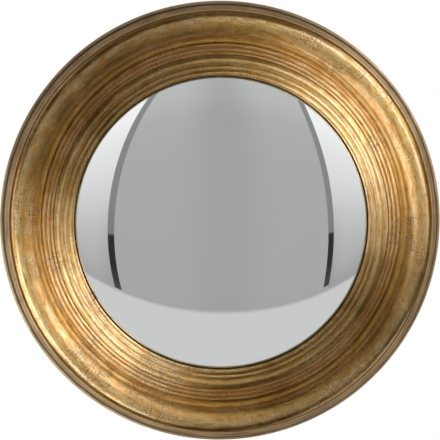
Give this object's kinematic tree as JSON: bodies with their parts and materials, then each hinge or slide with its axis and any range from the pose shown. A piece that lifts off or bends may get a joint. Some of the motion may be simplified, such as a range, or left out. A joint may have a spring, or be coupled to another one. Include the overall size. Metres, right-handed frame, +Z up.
{
  "type": "convex wall mirror",
  "caption": "Round convex mirror glass in a broad gilded wooden frame with a reeded lip, beads, cove and cushion moulding, closed at the back and hung from a ring.",
  "frame": {"origin": "the point of the wall plane where a wall hook carries the hanger ring, level with the top inside of the ring", "axes": "+X to the right seen from the room, +Y into the wall, +Z up; the glass faces -Y and the wall is the plane y = 0"},
  "size_m": [0.6, 0.0888, 0.6],
  "materials": {
    "bronzed_wood": "dull bronze gilding over red bole, raw at the rear",
    "gilded_wood": "antique gold leaf over red bole, rubbed and crackled",
    "gilded_slip": "antique gold leaf over red bole, rubbed on the reeds",
    "mirror_glass": "silvered convex glass",
    "strip_rubber": "matte foam rubber strip",
    "raw_wood": "raw bent wood",
    "hardboard": "smooth brown hardboard",
    "button_brass": "pressed brass, lightly dulled",
    "screw_brass": "brass pan-head screws",
    "plated_steel": "zinc-plated steel",
    "pad_rubber": "matte black rubber"
  },
  "bodies": {
    "frame": {"back_ring": "bronzed_wood", "front_moulding": "gilded_wood", "sight_slip": "gilded_slip", "convex_mirror": "mirror_glass", "glazing_strip": "strip_rubber", "spacer_ring": "raw_wood", "back_panel": "hardboard", "turn_button_screw_1": "screw_brass", "turn_button_screw_2": "screw_brass", "turn_button_screw_3": "screw_brass", "turn_button_screw_4": "screw_brass", "turn_button_screw_5": "screw_brass", "turn_button_screw_6": "screw_brass", "hanger_strap": "plated_steel", "hanger_screw_1": "plated_steel", "hanger_screw_2": "plated_steel", "wall_pad_1": "pad_rubber", "wall_pad_2": "pad_rubber", "wall_pad_3": "pad_rubber", "wall_pad_4": "pad_rubber"},
    "hanger_ring": {"hanger_ring": "plated_steel"},
    "turn_button_1": {"turn_button_1": "button_brass"},
    "turn_button_2": {"turn_button_2": "button_brass"},
    "turn_button_3": {"turn_button_3": "button_brass"},
    "turn_button_4": {"turn_button_4": "button_brass"},
    "turn_button_5": {"turn_button_5": "button_brass"},
    "turn_button_6": {"turn_button_6": "button_brass"}
  },
  "joints": [
    {"name": "hanger_ring_swing", "type": "hinge", "parent": "frame", "child": "hanger_ring", "pos_m": [0, -0.0041, -0.017], "axis": [-1, 0, 0], "range_deg": [-3, 172]},
    {"name": "turn_button_1_turn", "type": "hinge", "parent": "frame", "child": "turn_button_1", "pos_m": [0.11175, -0.00595, -0.08544], "axis": [0, 1, 0], "continuous": true},
    {"name": "turn_button_2_turn", "type": "hinge", "parent": "frame", "child": "turn_button_2", "pos_m": [0.2235, -0.00595, -0.279], "axis": [0, 1, 0], "continuous": true},
    {"name": "turn_button_3_turn", "type": "hinge", "parent": "frame", "child": "turn_button_3", "pos_m": [0.11175, -0.00595, -0.47256], "axis": [0, 1, 0], "continuous": true},
    {"name": "turn_button_4_turn", "type": "hinge", "parent": "frame", "child": "turn_button_4", "pos_m": [-0.11175, -0.00595, -0.47256], "axis": [0, 1, 0], "continuous": true},
    {"name": "turn_button_5_turn", "type": "hinge", "parent": "frame", "child": "turn_button_5", "pos_m": [-0.2235, -0.00595, -0.279], "axis": [0, 1, 0], "continuous": true},
    {"name": "turn_button_6_turn", "type": "hinge", "parent": "frame", "child": "turn_button_6", "pos_m": [-0.11175, -0.00595, -0.08544], "axis": [0, 1, 0], "continuous": true}
  ]
}
